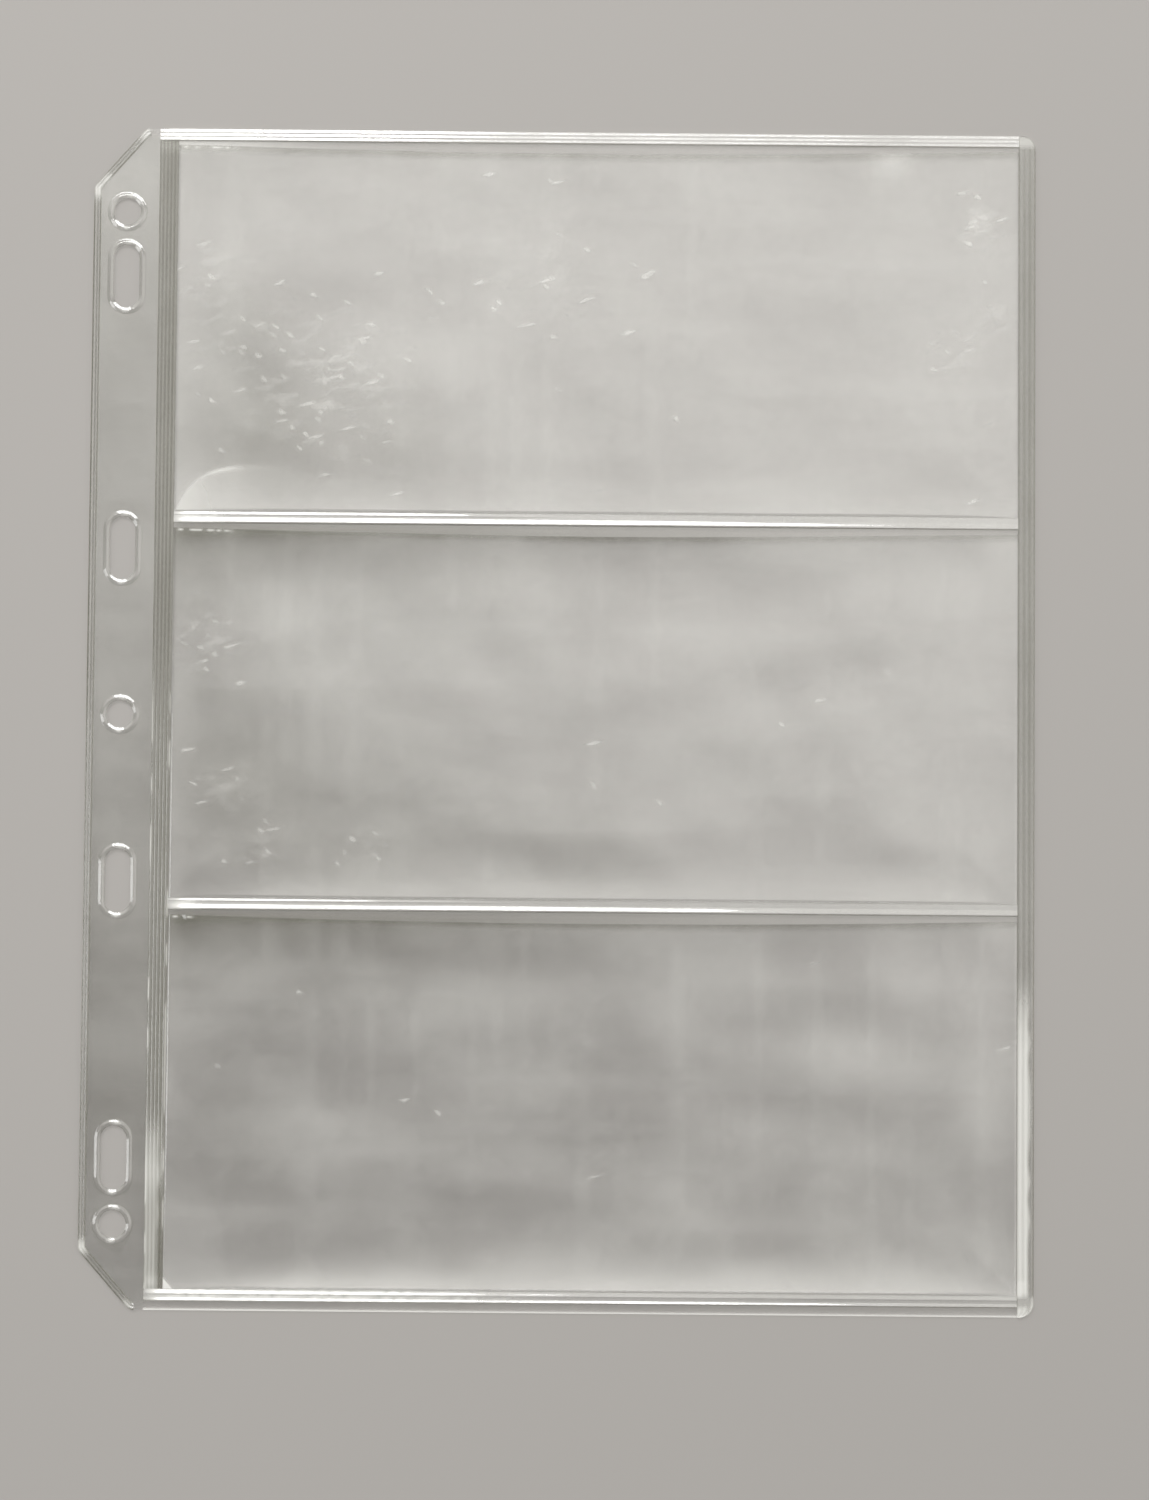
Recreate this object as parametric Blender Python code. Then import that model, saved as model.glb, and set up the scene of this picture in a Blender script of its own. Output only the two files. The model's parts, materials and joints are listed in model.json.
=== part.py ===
"""A clear three-pocket banknote page with a punched binding margin, lying flat and face up.

Metres, +Z up. X runs from the binding margin to the outer edge, Y from the bottom edge to the top,
and the origin is under the middle of the page, on the surface that the page lies on.
The page is layers of one clear film, joined by flat welded bands. Each pocket's front film is held
along its foot and its two sides, and its top edge is the mouth that a banknote slides in at.
"""

import math

import bmesh
import bpy

# Layers
FILM_THICKNESS = 0.0002
POCKET_SLACK = 0.0002  # air between a pocket's front film and the back film
SEAT_GAP = 0.0003  # between a film's edge and the weld that holds it

# Pockets, from the top of the page to its foot
POCKETS = ("top", "middle", "bottom")
POCKET_WIDTH = 0.1805  # between the side welds
POCKET_HEIGHT = 0.079  # from the weld at a pocket's foot to its mouth
MOUTH_GAP = 0.001  # from a mouth to the weld above it
MOUTH_CORNER_RADIUS = 0.0012

# Welded bands
FOOT_WELD_WIDTH = 0.0025
TOP_WELD_WIDTH = 0.0025
LEFT_WELD_WIDTH = 0.004
RIGHT_WELD_WIDTH = 0.0035
BOTTOM_LIP = 0.002  # back film below the last weld
PAGE_CORNER_RADIUS = 0.003

# Binding margin
MARGIN_WIDTH = 0.0132
FOLD_GROOVE = 0.0008  # gap in which the margin folds against the pockets
EDGE_WELD_WIDTH = 0.0015
END_FLAT = 0.0022  # straight end of the margin, between the chamfer and the fold
CHAMFER_ALONG = 0.0125
CHAMFER_ROUNDING = 0.002

# Ring holes, on one line down the margin and alike above and below the middle of the page
HOLE_LINE = 0.0072  # from the margin's outer edge
HOLE_DIAMETER = 0.0058
SLOT_WIDTH = 0.0055
SLOT_LENGTH = 0.0135
END_HOLE_INSET = 0.018  # from the page's top edge to the end hole
END_HOLE_TO_SLOT = 0.014
MIDDLE_TO_SLOT = 0.0355

# Turn between neighbouring points of an arc
ARC_STEP = math.radians(15)

# Looks
FILM_COLOUR = (0.78, 0.78, 0.76)
FILM_ALPHA = 0.3
WELD_COLOUR = (0.90, 0.90, 0.89)
WELD_ALPHA = 0.6
PLASTIC_ROUGHNESS = 0.12

# The page's outline and the columns and levels that every piece is placed by
POCKET_PITCH = MOUTH_GAP + POCKET_HEIGHT + FOOT_WELD_WIDTH
PAGE_WIDTH = MARGIN_WIDTH + FOLD_GROOVE + LEFT_WELD_WIDTH + POCKET_WIDTH + RIGHT_WELD_WIDTH
PAGE_HEIGHT = TOP_WELD_WIDTH + len(POCKETS) * POCKET_PITCH + BOTTOM_LIP
LEFT, RIGHT = -PAGE_WIDTH / 2, PAGE_WIDTH / 2
BOTTOM, TOP = -PAGE_HEIGHT / 2, PAGE_HEIGHT / 2
MARGIN_END = LEFT + MARGIN_WIDTH
CHAMFER_ACROSS = MARGIN_WIDTH - END_FLAT
PANEL_START = MARGIN_END + FOLD_GROOVE
POCKET_LEFT = PANEL_START + LEFT_WELD_WIDTH
POCKET_RIGHT = POCKET_LEFT + POCKET_WIDTH
POCKET_FILM_LEVEL = FILM_THICKNESS + POCKET_SLACK
WELD_HEIGHT = POCKET_SLACK + FILM_THICKNESS
PAGE_THICKNESS = FILM_THICKNESS + WELD_HEIGHT


def arc(centre, radius, start, end):
    """Points along an arc about a centre, from one angle to another, both ends included."""
    steps = max(1, round(abs(end - start) / ARC_STEP))
    angles = [start + (end - start) * step / steps for step in range(steps + 1)]
    return [(centre[0] + radius * math.cos(a), centre[1] + radius * math.sin(a)) for a in angles]


def rounded(corners):
    """A closed outline through corners (x, y, radius), anticlockwise, each one rounded to its radius."""
    points = []
    for index, (x, y, radius) in enumerate(corners):
        before = corners[index - 1]
        after = corners[(index + 1) % len(corners)]
        heading_in = math.atan2(y - before[1], x - before[0])
        heading_out = math.atan2(after[1] - y, after[0] - x)
        turn = (heading_out - heading_in) % math.tau
        if radius <= 0:
            points.append((x, y))
            continue
        back = radius * math.tan(turn / 2)
        centre = (
            x - back * math.cos(heading_in) - radius * math.sin(heading_in),
            y - back * math.sin(heading_in) + radius * math.cos(heading_in),
        )
        points += arc(centre, radius, heading_in - math.pi / 2, heading_in + turn - math.pi / 2)
    return points


def slot(y, width, length):
    """The outline of a round-ended hole on the margin's hole line. A round hole is as long as wide."""
    reach = (length - width) / 2
    upper = arc((LEFT + HOLE_LINE, y + reach), width / 2, 0, math.pi)
    lower = arc((LEFT + HOLE_LINE, y - reach), width / 2, math.pi, math.tau)
    return upper + lower if reach > 0 else upper[:-1] + lower[:-1]


def ring_holes():
    """Outlines of the holes for the binder's rings: one in the middle, and three above and below it."""
    end_hole = TOP - END_HOLE_INSET
    outlines = [slot(0, HOLE_DIAMETER, HOLE_DIAMETER)]
    for side in (1, -1):
        outlines.append(slot(side * end_hole, HOLE_DIAMETER, HOLE_DIAMETER))
        outlines.append(slot(side * (end_hole - END_HOLE_TO_SLOT), SLOT_WIDTH, SLOT_LENGTH))
        outlines.append(slot(side * MIDDLE_TO_SLOT, SLOT_WIDTH, SLOT_LENGTH))
    return outlines


def margin_corners(inset):
    """Corners of the margin with its chamfered ends, drawn in from its free edges by an inset.

    An inset chamfer stays parallel to the edge, so each of its ends slides by an amount that
    follows from the chamfer's slope.
    """
    slope = math.hypot(CHAMFER_ACROSS, CHAMFER_ALONG)
    across = CHAMFER_ACROSS + inset * (slope - CHAMFER_ACROSS) / CHAMFER_ALONG
    along = CHAMFER_ALONG + inset * (slope - CHAMFER_ALONG) / CHAMFER_ACROSS
    rounding = max(0, CHAMFER_ROUNDING - inset)
    return [
        (MARGIN_END, BOTTOM + inset, 0),
        (MARGIN_END, TOP - inset, 0),
        (LEFT + across, TOP - inset, rounding),
        (LEFT + inset, TOP - along, rounding),
        (LEFT + inset, BOTTOM + along, rounding),
        (LEFT + across, BOTTOM + inset, rounding),
    ]


def plastic(name, colour, alpha):
    """Clear vinyl: a glossy, see-through material of its own for one piece."""
    material = bpy.data.materials.new(name)
    material.use_nodes = True
    shader = material.node_tree.nodes["Principled BSDF"]
    shader.inputs["Base Color"].default_value = (*colour, 1)
    shader.inputs["Roughness"].default_value = PLASTIC_ROUGHNESS
    shader.inputs["Metallic"].default_value = 0
    shader.inputs["Alpha"].default_value = alpha
    return material


def place(name, data, location, parent, material):
    """Adds a piece to the page. Its location is in the page's frame, whatever carries it."""
    piece = bpy.data.objects.new(name, data)
    data.materials.append(material)
    page_parts.objects.link(piece)
    piece.parent = parent
    piece.location = [at - base for at, base in zip(location, parent.location)]
    return piece


def plate(name, outlines, level, thickness, parent, material):
    """A flat piece on a level: its first outline, cut through by the others."""
    middle = (0, 0, level + thickness / 2)
    curve = bpy.data.curves.new(name, "CURVE")
    curve.dimensions = "2D"
    curve.fill_mode = "BOTH"
    curve.extrude = thickness / 2
    for outline in outlines:
        spline = curve.splines.new("POLY")
        spline.points.add(len(outline) - 1)
        spline.use_cyclic_u = True
        for point, (x, y) in zip(spline.points, outline):
            point.co = (x, y, 0, 1)
    return place(name, curve, middle, parent, material)


def band(name, x_range, y_range, parent):
    """A straight welded band on the back film, as tall as a pocket's front film stands."""
    sides = (x_range, y_range, (FILM_THICKNESS, PAGE_THICKNESS))
    middle = [sum(ends) / 2 for ends in sides]
    mesh = bpy.data.meshes.new(name)
    shape = bmesh.new()
    bmesh.ops.create_cube(shape, size=1)
    bmesh.ops.scale(shape, vec=[ends[1] - ends[0] for ends in sides], verts=shape.verts)
    shape.to_mesh(mesh)
    shape.free()
    return place(name, mesh, middle, parent, plastic(name, WELD_COLOUR, WELD_ALPHA))


def axis(name, location, parent=None):
    """An empty that carries the pieces which turn about it."""
    empty = bpy.data.objects.new(name, None)
    empty.empty_display_size = MARGIN_WIDTH
    page_parts.objects.link(empty)
    empty.parent = parent
    empty.location = location
    return empty


def pocket_panel(page):
    """The back film behind the pockets and the welded bands round it."""
    corner = min(PAGE_CORNER_RADIUS, RIGHT_WELD_WIDTH)
    outer_corners = [(RIGHT, BOTTOM, corner), (RIGHT, TOP, corner)]
    panel = rounded([(PANEL_START, TOP, 0), (PANEL_START, BOTTOM, 0), *outer_corners])
    plate("back_film", [panel], 0, FILM_THICKNESS, page, plastic("back_film", FILM_COLOUR, FILM_ALPHA))

    edge = rounded([(POCKET_RIGHT, TOP, 0), (POCKET_RIGHT, BOTTOM, 0), *outer_corners])
    material = plastic("right_weld", WELD_COLOUR, WELD_ALPHA)
    plate("right_weld", [edge], FILM_THICKNESS, WELD_HEIGHT, page, material)
    band("left_weld", (PANEL_START, POCKET_LEFT), (BOTTOM, TOP), page)
    band("top_weld", (POCKET_LEFT, POCKET_RIGHT), (TOP - TOP_WELD_WIDTH, TOP), page)


def pocket(name, place_in_column, page):
    """A pocket's front film, which lifts about its lower edge, and the welded band at its foot."""
    mouth = TOP - TOP_WELD_WIDTH - place_in_column * POCKET_PITCH - MOUTH_GAP
    foot = mouth - POCKET_HEIGHT
    band(f"{name}_pocket_foot_weld", (POCKET_LEFT, POCKET_RIGHT), (foot - FOOT_WELD_WIDTH, foot), page)

    hinge = axis(f"{name}_pocket_hinge", (0, foot + SEAT_GAP, POCKET_FILM_LEVEL), page)
    left = POCKET_LEFT + SEAT_GAP
    right = POCKET_RIGHT - SEAT_GAP
    film = rounded([
        (left, foot + SEAT_GAP, 0),
        (right, foot + SEAT_GAP, 0),
        (right, mouth, MOUTH_CORNER_RADIUS),
        (left, mouth, MOUTH_CORNER_RADIUS),
    ])
    material = plastic(f"{name}_pocket_film", FILM_COLOUR, FILM_ALPHA)
    plate(f"{name}_pocket_film", [film], POCKET_FILM_LEVEL, FILM_THICKNESS, hinge, material)


def binding_margin(page):
    """Two films, punched together for the rings and welded along their free edges. They fold as one."""
    fold = axis("margin_fold", (MARGIN_END + FOLD_GROOVE / 2, 0, PAGE_THICKNESS / 2), page)
    film = plastic("margin_back_film", FILM_COLOUR, FILM_ALPHA)
    outlines = [rounded(margin_corners(0)), *ring_holes()]
    plate("margin_back_film", outlines, 0, FILM_THICKNESS, fold, film)

    film = plastic("margin_front_film", FILM_COLOUR, FILM_ALPHA)
    outlines = [rounded(margin_corners(EDGE_WELD_WIDTH + SEAT_GAP)), *ring_holes()]
    plate("margin_front_film", outlines, FILM_THICKNESS, FILM_THICKNESS, fold, film)

    outer = rounded(margin_corners(0))
    inner = rounded(margin_corners(EDGE_WELD_WIDTH))
    edge = [inner[0], *reversed(inner[1:]), *outer[1:], outer[0]]
    material = plastic("margin_edge_weld", WELD_COLOUR, WELD_ALPHA)
    plate("margin_edge_weld", [edge], FILM_THICKNESS, WELD_HEIGHT, fold, material)


for leftover in list(bpy.data.objects):
    bpy.data.objects.remove(leftover)
page_parts = bpy.data.collections.new("banknote_album_page")
bpy.context.scene.collection.children.link(page_parts)

page_base = axis("page", (0, 0, 0))
pocket_panel(page_base)
for place_in_column, pocket_name in enumerate(POCKETS):
    pocket(pocket_name, place_in_column, page_base)
binding_margin(page_base)
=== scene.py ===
import json
import math

import bpy
import numpy as np
from mathutils import Matrix, Vector


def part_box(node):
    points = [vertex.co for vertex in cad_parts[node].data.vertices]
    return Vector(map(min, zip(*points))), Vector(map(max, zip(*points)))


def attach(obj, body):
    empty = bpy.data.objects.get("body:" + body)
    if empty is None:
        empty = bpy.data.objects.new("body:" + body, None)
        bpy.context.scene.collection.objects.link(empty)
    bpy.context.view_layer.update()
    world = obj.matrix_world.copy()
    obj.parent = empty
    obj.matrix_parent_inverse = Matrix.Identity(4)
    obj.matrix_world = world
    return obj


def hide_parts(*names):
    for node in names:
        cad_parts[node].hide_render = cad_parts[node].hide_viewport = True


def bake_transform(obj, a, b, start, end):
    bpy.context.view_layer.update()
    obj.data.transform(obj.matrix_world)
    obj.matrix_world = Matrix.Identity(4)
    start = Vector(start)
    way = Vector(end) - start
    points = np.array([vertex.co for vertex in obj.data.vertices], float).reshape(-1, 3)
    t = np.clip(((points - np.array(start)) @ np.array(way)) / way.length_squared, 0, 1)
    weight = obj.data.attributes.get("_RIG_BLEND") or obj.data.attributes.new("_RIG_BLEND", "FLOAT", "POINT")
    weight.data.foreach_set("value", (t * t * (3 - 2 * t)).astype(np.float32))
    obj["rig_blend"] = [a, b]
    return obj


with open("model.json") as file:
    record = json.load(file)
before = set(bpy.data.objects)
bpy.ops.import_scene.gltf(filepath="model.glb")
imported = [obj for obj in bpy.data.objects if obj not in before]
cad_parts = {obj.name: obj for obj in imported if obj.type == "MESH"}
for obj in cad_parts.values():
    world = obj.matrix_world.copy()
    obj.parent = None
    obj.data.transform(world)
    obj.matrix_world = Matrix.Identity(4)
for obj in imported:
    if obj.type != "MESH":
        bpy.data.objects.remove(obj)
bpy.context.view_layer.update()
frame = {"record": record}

scene = bpy.context.scene
MM = 0.001


# The view: a camera that looks down on the page as it lies on its back, leaning a little towards the
# foot of the page and turned by half a degree, as whoever photographed it stood.

IMAGE_PIXELS = (1149, 1500)
PAGE_CENTRE_PIXEL = (560, 718)
METRES_PER_PIXEL = 0.2131 * MM
LENS_MM = 70
SENSOR_MM = 36
CAMERA_LEAN = math.radians(2.5)
CAMERA_TURN = math.radians(0.5)

aim = Vector((
    (IMAGE_PIXELS[0] / 2 - PAGE_CENTRE_PIXEL[0]) * METRES_PER_PIXEL,
    (PAGE_CENTRE_PIXEL[1] - IMAGE_PIXELS[1] / 2) * METRES_PER_PIXEL,
    0,
))
camera_distance = IMAGE_PIXELS[1] * METRES_PER_PIXEL * LENS_MM / SENSOR_MM
camera_turned = Matrix.Rotation(CAMERA_LEAN, 4, "X") @ Matrix.Rotation(CAMERA_TURN, 4, "Z")
camera_data = bpy.data.cameras.new("camera")
camera_data.lens = LENS_MM
camera_data.sensor_width = SENSOR_MM
camera_data.clip_start = 0.01
camera_data.clip_end = 100
camera = bpy.data.objects.new("camera", camera_data)
scene.collection.objects.link(camera)
camera.matrix_world = (
    Matrix.Translation(aim) @ camera_turned @ Matrix.Translation((0, 0, camera_distance))
)
scene.camera = camera
scene.view_settings.view_transform = "Standard"
scene.cycles.transparent_max_bounces = 32
scene.cycles.max_bounces = 6
scene.cycles.diffuse_bounces = 3
scene.cycles.glossy_bounces = 3


# The stage: a plain pale table, paler further out, where the lamps reach less, so that it looks even; a
# soft sky that is dim overhead with a bright band just past it, towards the head of the page; and two
# softboxes that draw the white lines on the welds.

FLOOR_SIDE = 30
FLOOR_DROP = 0.3 * MM
FLOOR_COLOUR = (0.470, 0.452, 0.436, 1)
FAR_FLOOR_COLOUR = (0.95, 0.93, 0.90, 1)
FLOOR_LIT_MOST = (-0.2, 0.75, 0)
FAR_FLOOR_FROM, FAR_FLOOR_TO = 1.0, 2.3
FLOOR_ROUGHNESS, FLOOR_SHEEN = 0.85, 0.2
SKY_DIM = (0.08, 0.079, 0.075, 1)
SKY_BRIGHT = (1.20, 1.182, 1.12, 1)
SKY_HORIZON = (0.50, 0.49, 0.47, 1)
HORIZON_TO, OVERHEAD_FROM = 0.30, 0.62
SKY_TURN = 0.5
SKY_BAND_FROM, SKY_BAND_FULL = -0.22, 0.24
SKY_BAND_FADES, SKY_BAND_TO = 0.40, 0.65


def node(tree, kind, inputs=(), **settings):
    """Adds a shader node, sets its own settings, then sets or links the inputs that are given by name
    or number: a socket is linked, and anything else is the socket's value."""
    made = tree.nodes.new(kind)
    for name, value in settings.items():
        setattr(made, name, value)
    for name, value in dict(inputs).items():
        if isinstance(value, bpy.types.NodeSocket):
            tree.links.new(value, made.inputs[name])
        else:
            made.inputs[name].default_value = value
    return made


def math_node(tree, operation, *values):
    """The result of one Math node on one, two or three values or sockets."""
    return node(tree, "ShaderNodeMath", dict(enumerate(values)), operation=operation).outputs[0]


def soften(tree, value, low, high, to_low=0.0, to_high=1.0):
    """A smooth step of a value: to_low up to low, to_high from high on."""
    return node(
        tree,
        "ShaderNodeMapRange",
        {"Value": value, "From Min": low, "From Max": high, "To Min": to_low, "To Max": to_high},
        interpolation_type="SMOOTHSTEP",
    ).outputs["Result"]


def mix_colours(tree, share, first, second):
    """The colour a share of the way from a first colour to a second, by a Mix node, whose inputs 6 and
    7 and output 2 are the ones for colours."""
    inputs = {"Factor": share, 6: first, 7: second}
    return node(tree, "ShaderNodeMix", inputs, data_type="RGBA").outputs[2]


half_floor = FLOOR_SIDE / 2
floor_corners = np.array(((-1, -1), (1, -1), (1, 1), (-1, 1))) * half_floor
floor_mesh = bpy.data.meshes.new("floor")
floor_mesh.from_pydata([(x, y, -FLOOR_DROP) for x, y in floor_corners], [], [(0, 1, 2, 3)])
floor = bpy.data.objects.new("floor", floor_mesh)
scene.collection.objects.link(floor)
floor_finish = bpy.data.materials.new("pale table")
floor_finish.use_nodes = True
floor_tree = floor_finish.node_tree
from_light = node(
    floor_tree,
    "ShaderNodeVectorMath",
    {0: node(floor_tree, "ShaderNodeTexCoord").outputs["Object"], 1: FLOOR_LIT_MOST},
    operation="DISTANCE",
).outputs["Value"]
outwards = soften(floor_tree, from_light, FAR_FLOOR_FROM, FAR_FLOOR_TO)
floor_colour = mix_colours(floor_tree, outwards, FLOOR_COLOUR, FAR_FLOOR_COLOUR)
floor_shader = floor_tree.nodes["Principled BSDF"]
floor_tree.links.new(floor_colour, floor_shader.inputs["Base Color"])
floor_shader.inputs["Roughness"].default_value = FLOOR_ROUGHNESS
floor_shader.inputs["Specular IOR Level"].default_value = FLOOR_SHEEN
floor_mesh.materials.append(floor_finish)

world = bpy.data.worlds.new("soft sky")
scene.world = world
world.use_nodes = True
sky = world.node_tree
sky_direction = node(
    sky, "ShaderNodeSeparateXYZ", {0: node(sky, "ShaderNodeTexCoord").outputs["Generated"]}
)
towards_head = math_node(
    sky, "MULTIPLY_ADD", sky_direction.outputs["X"], SKY_TURN, sky_direction.outputs["Y"]
)
sky_band = math_node(
    sky,
    "MULTIPLY",
    soften(sky, towards_head, SKY_BAND_FROM, SKY_BAND_FULL),
    soften(sky, towards_head, SKY_BAND_FADES, SKY_BAND_TO, to_low=1.0, to_high=0.0),
)
overhead = mix_colours(sky, sky_band, SKY_DIM, SKY_BRIGHT)
height = soften(sky, sky_direction.outputs["Z"], HORIZON_TO, OVERHEAD_FROM)
sky_colour = mix_colours(sky, height, SKY_HORIZON, overhead)
sky.links.new(sky_colour, sky.nodes["Background"].inputs["Color"])


def softbox(name, place, width, height, radiance):
    """A rectangular lamp that faces the page; its power is its radiance times its area times pi."""
    lamp = bpy.data.lights.new(name, "AREA")
    lamp.shape = "RECTANGLE"
    lamp.size = width
    lamp.size_y = height
    lamp.energy = radiance * width * height * math.pi
    box = bpy.data.objects.new(name, lamp)
    scene.collection.objects.link(box)
    box.location = place
    box.rotation_euler = (-Vector(place)).to_track_quat("-Z", "Y").to_euler()


softbox("head softbox", place=(-0.10, 0.93, 1.18), width=0.95, height=0.68, radiance=6.6)
softbox("left softbox", place=(-1.00, -0.10, 1.20), width=0.35, height=0.90, radiance=2.8)


# The back film: one sheet of clear vinyl behind the pockets, which runs on through the fold as the
# back of the punched binding margin. Its outer corners are rounded and the margin's ends are cut off.

PAGE_CORNER = 3.0 * MM
MARGIN_END_FLAT = 2.2 * MM
CHAMFER_ALONG = 12.5 * MM
CHAMFER_ROUNDING = 2.0 * MM
ROUND_HOLE = 5.8 * MM
SLOT_WIDTH, SLOT_LENGTH = 5.5 * MM, 13.5 * MM
HOLE_BEAD_WIDTH = 1.3 * MM
ROW_STEP = 0.8 * MM
OUTLINE_STEP = 0.4 * MM
PANEL_STEP = 3.0 * MM
FOLD_STEPS, CORNER_STEPS = 10, 8
BEAD_RINGS, CELL_RINGS, RING_PAST_BEAD = 8, 4, 1.1
FAR_FROM_HOLES = 1.0
SAME_PLACE = 0.001 * MM
FOLD_INTO_MARGIN, FOLD_INTO_PANEL = 1.2 * MM, 0.2 * MM
CREASE_ANGLE = math.radians(50)

panel_low, panel_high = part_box("back_film")
margin_low, margin_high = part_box("margin_back_film")
film = panel_high.z - panel_low.z
page_left, page_right = margin_low.x, panel_high.x
page_foot, page_head = panel_low.y, panel_high.y
fold_from = margin_high.x - FOLD_INTO_MARGIN
fold_to = panel_low.x + FOLD_INTO_PANEL

ring_holes = []
for opening in frame["record"]["physics"]["openings"]:
    low, high = np.array(opening["box_m"])
    ring_holes.append(((low[:2] + high[:2]) / 2, opening["name"].endswith("slot")))
ring_holes.sort(key=lambda hole: hole[0][1])


def sheet_rows(foot, head):
    """Heights of a sheet's rows: even steps between its corners, and inside each corner the heights at
    which equal turns of the corner's arc lie."""
    turn = np.linspace(0, math.pi / 2, CORNER_STEPS + 1)
    rounding = PAGE_CORNER * (1 - np.cos(turn))
    count = round((head - foot - 2 * PAGE_CORNER) / ROW_STEP)
    even = np.linspace(foot + PAGE_CORNER, head - PAGE_CORNER, count + 1)
    return np.concatenate((foot + rounding[:-1], even, (head - rounding[:-1])[::-1]))


def walk(corners, rounding, step):
    """Points at even steps along a bent line, from its first corner to its last. The corners between
    are arcs that touch both straights, where their rounding isn't zero."""
    corners = np.array(corners, float)
    line = [corners[:1]]
    for before, corner, after, radius in zip(corners, corners[1:], corners[2:], rounding):
        back = (before - corner) / np.linalg.norm(before - corner)
        ahead = (after - corner) / np.linalg.norm(after - corner)
        half_angle = math.acos(np.clip(back @ ahead, -1, 1)) / 2
        middle = (back + ahead) / np.linalg.norm(back + ahead)
        centre = corner + middle * radius / math.sin(half_angle)
        share = np.linspace(0, 1, CORNER_STEPS + 1 if radius else 1)[:, None]
        chord = corner + (back + (ahead - back) * share) * radius / math.tan(half_angle) - centre
        length = np.maximum(np.linalg.norm(chord, axis=1, keepdims=True), 1e-12)
        line.append(centre + radius * chord / length)
    line = np.concatenate((*line, corners[-1:]))
    pieces = []
    for start, end in zip(line, line[1:]):
        count = max(1, round(np.linalg.norm(end - start) / step))
        pieces.append(start + (end - start) * np.linspace(0, 1, count + 1)[:-1, None])
    return np.concatenate((*pieces, line[-1:]))


def margin_corners(inset):
    """The margin's outline from the fold at its head to the fold at its foot, moved in by an inset:
    its flat head, the two ends of the upper chamfer, the two of the lower one, and its flat foot."""
    left, head, foot = page_left + inset, page_head - inset, page_foot + inset
    across = margin_high.x - MARGIN_END_FLAT - page_left
    slant = math.hypot(across, CHAMFER_ALONG)
    down = inset * (slant - CHAMFER_ALONG) / across
    right = page_left + across + inset * (slant - across) / CHAMFER_ALONG
    high_left = (left, page_head - CHAMFER_ALONG - down)
    low_left = (left, page_foot + CHAMFER_ALONG + down)
    return [(fold_from, head), (right, head), high_left, low_left, (right, foot), (fold_from, foot)]


def ring_quads(around, rings, first):
    """Faces of a closed strip of rings of points, numbered ring by ring from first, innermost first."""
    a = np.arange(around)
    b = np.roll(a, -1)
    inner = first + around * np.arange(rings - 1)[:, None]
    return np.stack((a + inner, a + inner + around, b + inner + around, b + inner), -1).reshape(-1, 4)


def grid_quads(rows, columns, first=0):
    """Faces of a grid of points, numbered row by row from first, seen from above."""
    corner = first + np.arange(columns - 1) + columns * np.arange(rows - 1)[:, None]
    return np.stack((corner, corner + 1, corner + columns + 1, corner + columns), -1).reshape(-1, 4)


def punched_sheet(inset, columns, right_end):
    """A margin with its ring holes, and the sheet beside it. Each hole has its own cell of the margin,
    filled by rings that pass from the hole's outline to the cell's, straight away from the spine
    between a slot's round ends; beside the cells lies a grid whose rows end at right_end. Points that
    share a place are made one. Gives the points in plan, each one's distance from a hole, and the
    quads."""
    foot, head = page_foot + inset, page_head - inset
    rows = sheet_rows(foot, head)
    outline = margin_corners(inset)
    tops = [c[1] + (SLOT_LENGTH if is_slot else ROUND_HOLE) / 2 for c, is_slot in ring_holes]
    bottoms = [c[1] - (SLOT_LENGTH if is_slot else ROUND_HOLE) / 2 for c, is_slot in ring_holes]
    middles = (np.array(tops[:-1]) + np.array(bottoms[1:])) / 2
    borders = rows[np.abs(rows[:, None] - middles).argmin(axis=0)]
    plan, clear, quads, first = [], [], [], 0
    for (centre, is_slot), low, high in zip(ring_holes, (foot, *borders), (*borders, head)):
        corners = [(fold_from, high), (outline[2][0], high), (outline[2][0], low), (fold_from, low)]
        arc = CHAMFER_ROUNDING - inset
        rounding = [0, 0]
        if high == head:
            corners = [*outline[:3], *corners[2:]]
            rounding = [arc, arc, 0]
        if low == foot:
            corners = [*corners[:2], *outline[3:]]
            rounding = [0, arc, arc]
        side = rows[(rows > low) & (rows < high)]
        side = np.column_stack((np.full(len(side), fold_from), side))
        border = np.concatenate((walk(corners, rounding, OUTLINE_STEP), side))
        radius = (SLOT_WIDTH if is_slot else ROUND_HOLE) / 2
        half_spine = (SLOT_LENGTH - SLOT_WIDTH) / 2 if is_slot else 0.0
        spine = centre + np.array((0, 1)) * np.clip(border[:, 1:] - centre[1], -half_spine, half_spine)
        ray = border - spine
        length = np.linalg.norm(ray, axis=1)
        ray /= length[:, None]
        rings = np.append(np.linspace(0, 1, BEAD_RINGS + 1), RING_PAST_BEAD)
        bead = HOLE_BEAD_WIDTH * rings[:, None] + 0 * length
        rest = bead[-1] + np.linspace(0, 1, CELL_RINGS + 1)[1:, None] * (length - radius - bead[-1])
        away = np.concatenate((bead, rest))
        plan.append((spine + ray * (radius + away)[..., None]).reshape(-1, 2))
        clear.append(away.ravel())
        quads.append(ring_quads(len(border), len(away), first))
        first += away.size
    share = (columns - columns[0]) / (columns[-1] - columns[0])
    across = fold_from + share * (right_end(rows)[:, None] - fold_from)
    plan.append(np.stack((across, np.broadcast_to(rows[:, None], across.shape)), -1).reshape(-1, 2))
    clear.append(np.full(across.size, FAR_FROM_HOLES))
    quads.append(grid_quads(len(rows), len(columns), first))
    plan, clear, quads = np.concatenate(plan), np.concatenate(clear), np.concatenate(quads)
    # A quarter of a step keeps round sizes off the border between two places.
    cell = np.round(plan / SAME_PLACE + 0.25).astype(int)
    _, kept, place = np.unique(cell, axis=0, return_index=True, return_inverse=True)
    return plan[kept], clear[kept], place.reshape(-1)[quads]


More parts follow.
